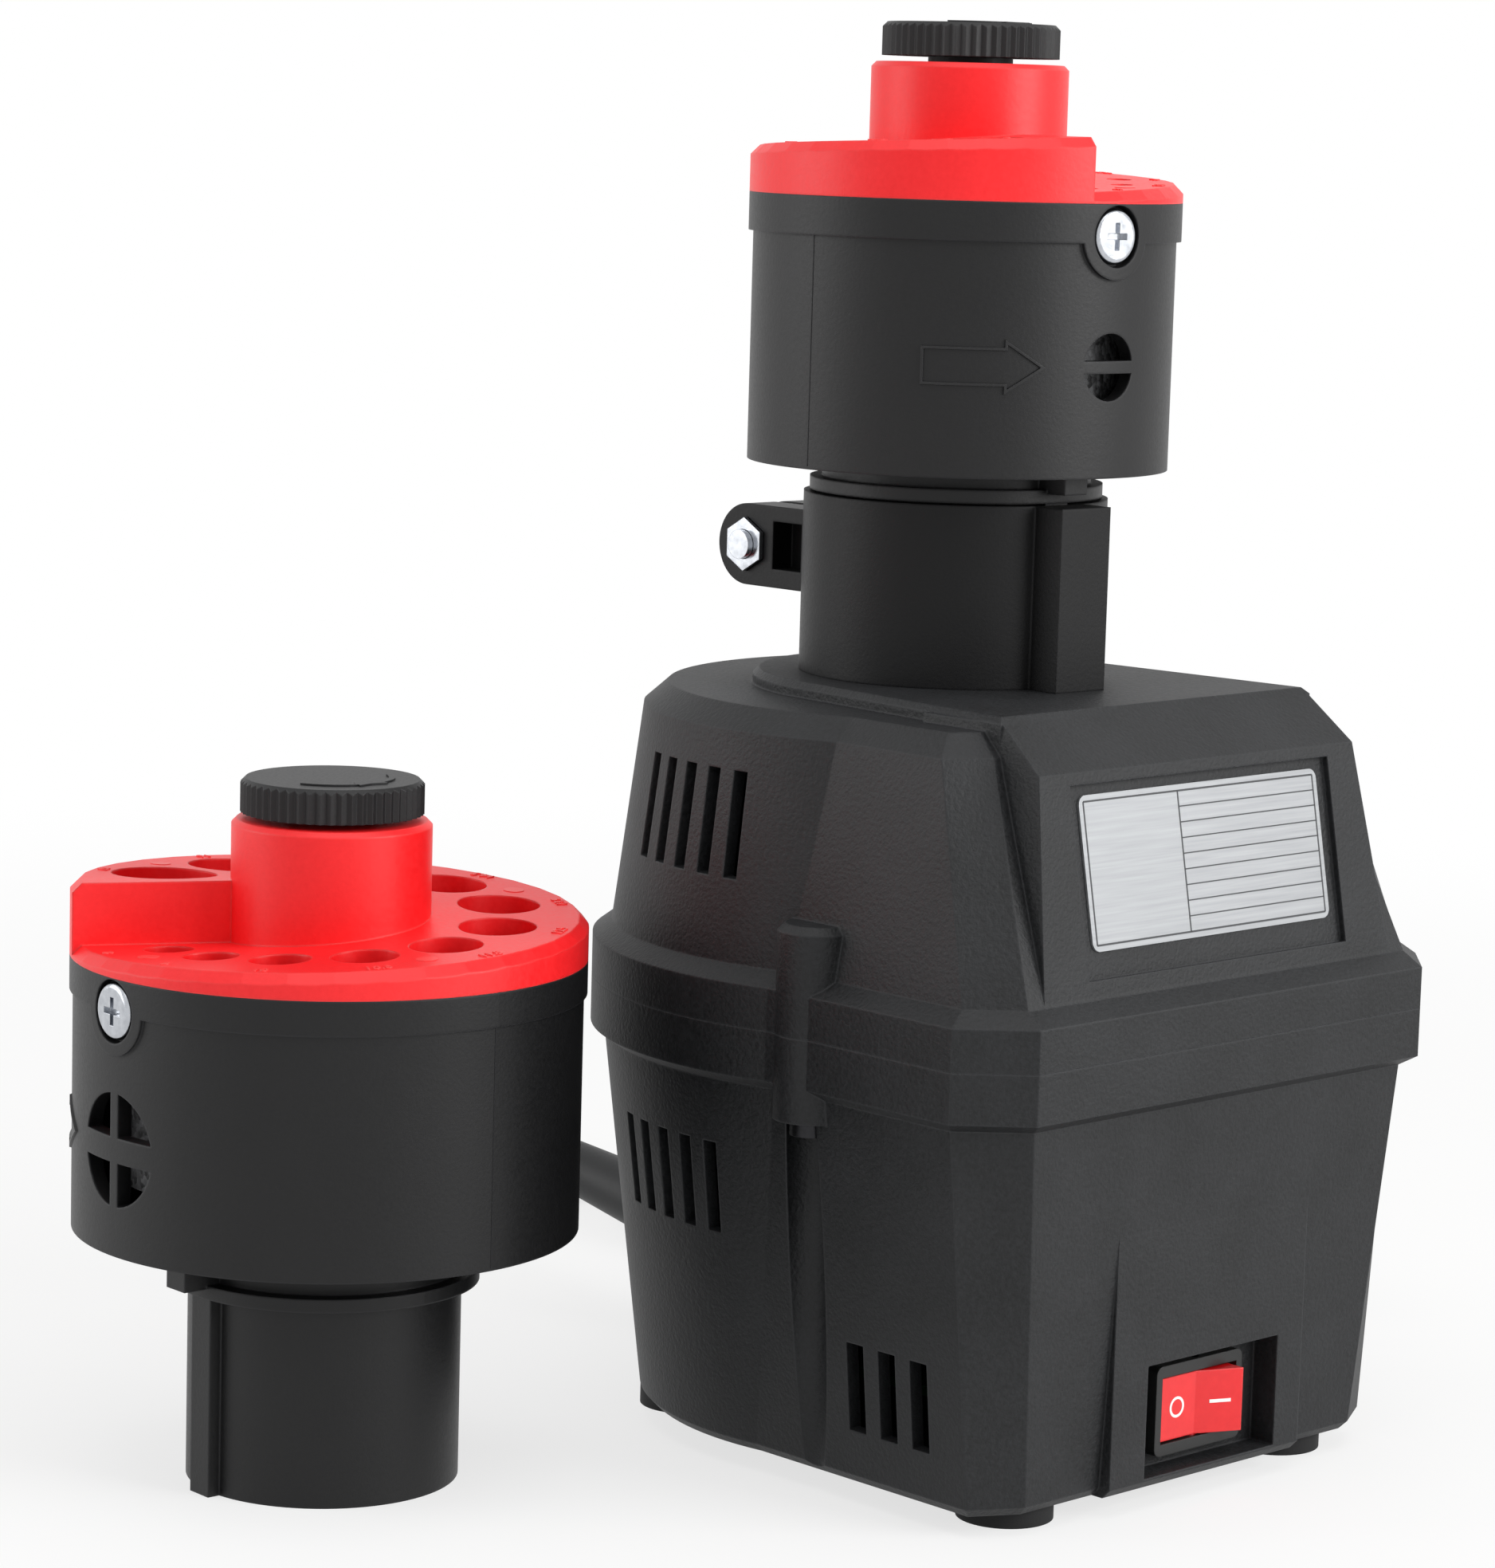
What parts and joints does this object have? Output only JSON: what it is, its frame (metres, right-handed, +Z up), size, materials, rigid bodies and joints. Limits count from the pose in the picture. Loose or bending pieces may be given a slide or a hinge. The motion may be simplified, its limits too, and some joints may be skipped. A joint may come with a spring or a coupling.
{
  "type": "drill bit sharpener",
  "caption": "Bench drill bit sharpener: motor housing with split clamp neck holding a grinding head with a graded guide cap, plus a larger exchange head and a mains cord.",
  "frame": {"origin": "middle of the footprint of the machine and its second head on the floor, cord left out", "axes": "+Z up, -Y towards the switch and rating plate, +X to the right seen from the front"},
  "size_m": [0.2844, 0.2229, 0.2353],
  "materials": {
    "housing_plastic": "fine-grained moulded plastic, charcoal",
    "head_plastic": "satin moulded plastic, black",
    "red_plastic": "satin moulded plastic, bright red",
    "rocker_plastic": "polished moulded plastic, bright red",
    "knob_plastic": "matte moulded plastic, dark grey",
    "switch_plastic": "satin moulded plastic, black",
    "label_foil": "silver foil label",
    "foot_rubber": "matte black rubber",
    "zinc_steel": "bright zinc plated",
    "turned_steel": "turned bare steel",
    "can_steel": "grey painted drawn steel",
    "bell_alloy": "die-cast alloy",
    "ferrite": "sintered ferrite, dark grey",
    "copper": "enamelled copper",
    "bush_brass": "machined brass",
    "fan_plastic": "natural moulded nylon",
    "board_laminate": "green lacquered laminate",
    "abrasive": "bonded abrasive grain, grey"
  },
  "bodies": {
    "machine": {"lower_housing": "housing_plastic", "upper_housing": "housing_plastic", "clamp_neck": "head_plastic", "rating_plate": "label_foil", "switch_frame": "switch_plastic", "rubber_feet": "foot_rubber", "foot_screws": "zinc_steel", "housing_screws": "zinc_steel", "clamp_nut": "zinc_steel", "motor_can": "can_steel", "motor_magnets": "ferrite", "front_bell": "bell_alloy", "rear_bell": "bell_alloy", "front_bearing": "turned_steel", "rear_bearing": "turned_steel", "brush_holders": "switch_plastic", "carbon_brushes": "ferrite", "motor_screws": "zinc_steel", "rectifier_board": "board_laminate", "strain_relief": "foot_rubber", "cord_stretch": "foot_rubber", "cord_coil": "foot_rubber", "cord_tie": "switch_plastic", "plug_body": "foot_rubber", "plug_pins": "bush_brass"},
    "rotor": {"motor_shaft": "turned_steel", "armature_core": "can_steel", "armature_windings": "copper", "commutator": "copper", "cooling_fan": "fan_plastic", "drive_coupling": "turned_steel"},
    "rocker": {"switch_rocker": "rocker_plastic"},
    "clamp": {"clamp_screw": "zinc_steel"},
    "head": {"head_body": "head_plastic", "guide_cap": "red_plastic", "cap_screws": "zinc_steel", "lower_bush": "bush_brass", "plunger_guide": "bush_brass"},
    "knob": {"adjuster_knob": "knob_plastic", "knob_ring": "turned_steel"},
    "plunger": {"adjuster_plunger": "turned_steel"},
    "wheel": {"wheel_spindle": "turned_steel", "grinding_wheel": "abrasive", "wheel_nut": "zinc_steel", "drive_dog": "turned_steel"},
    "second_head": {"second_head_body": "head_plastic", "second_guide_cap": "red_plastic", "second_cap_screws": "zinc_steel", "second_lower_bush": "bush_brass", "second_plunger_guide": "bush_brass"},
    "second_knob": {"second_adjuster_knob": "knob_plastic", "second_knob_ring": "turned_steel"},
    "second_plunger": {"second_adjuster_plunger": "turned_steel"},
    "second_wheel": {"second_wheel_spindle": "turned_steel", "second_grinding_wheel": "abrasive", "second_wheel_nut": "zinc_steel", "second_drive_dog": "turned_steel"}
  },
  "joints": [
    {"name": "rocker_tilt", "type": "hinge", "parent": "machine", "child": "rocker", "pos_m": [0.04392, -0.06392, 0.0146], "axis": [0, 0, 1], "range_deg": [0, 24]},
    {"name": "motor_spin", "type": "hinge", "parent": "machine", "child": "rotor", "pos_m": [0.04233, -0.00602, 0.08], "axis": [0, 0, 1], "continuous": true},
    {"name": "clamp_turn", "type": "hinge", "parent": "machine", "child": "clamp", "pos_m": [0.04233, 0.03547, 0.1462], "axis": [1, 0, 0], "range_deg": [-360, 0]},
    {"name": "head_lift", "type": "slide", "parent": "machine", "child": "head", "axis": [0, 0, 1], "range_m": [0, 0.045]},
    {"name": "knob_turn", "type": "hinge", "parent": "head", "child": "knob", "pos_m": [0.04233, -0.00602, 0.22], "axis": [0, 0, 1], "range_deg": [-360, 360]},
    {"name": "plunger_slide", "type": "slide", "parent": "head", "child": "plunger", "axis": [0, 0, 1], "range_m": [-0.0015, 0.0015]},
    {"name": "wheel_spin", "type": "hinge", "parent": "plunger", "child": "wheel", "pos_m": [0.04233, -0.00602, 0.18], "axis": [0, 0, 1], "continuous": true},
    {"name": "second_lift", "type": "slide", "parent": "machine", "child": "second_head", "axis": [0, 0, 1], "range_m": [0, 0.06]},
    {"name": "second_knob_turn", "type": "hinge", "parent": "second_head", "child": "second_knob", "pos_m": [-0.05987, 0.03097, 0.1], "axis": [0, 0, 1], "range_deg": [-360, 360]},
    {"name": "second_plunger_slide", "type": "slide", "parent": "second_head", "child": "second_plunger", "axis": [0, 0, 1], "range_m": [-0.0015, 0.0015]},
    {"name": "second_wheel_spin", "type": "hinge", "parent": "second_plunger", "child": "second_wheel", "pos_m": [-0.05987, 0.03097, 0.06], "axis": [0, 0, 1], "continuous": true}
  ],
  "couplings": [
    {"joint": "knob_turn", "follows": "plunger_slide", "rad_per_m": 4188.8},
    {"joint": "second_knob_turn", "follows": "second_plunger_slide", "rad_per_m": 4188.8},
    {"joint": "wheel_spin", "follows": "motor_spin", "ratio": 1}
  ]
}
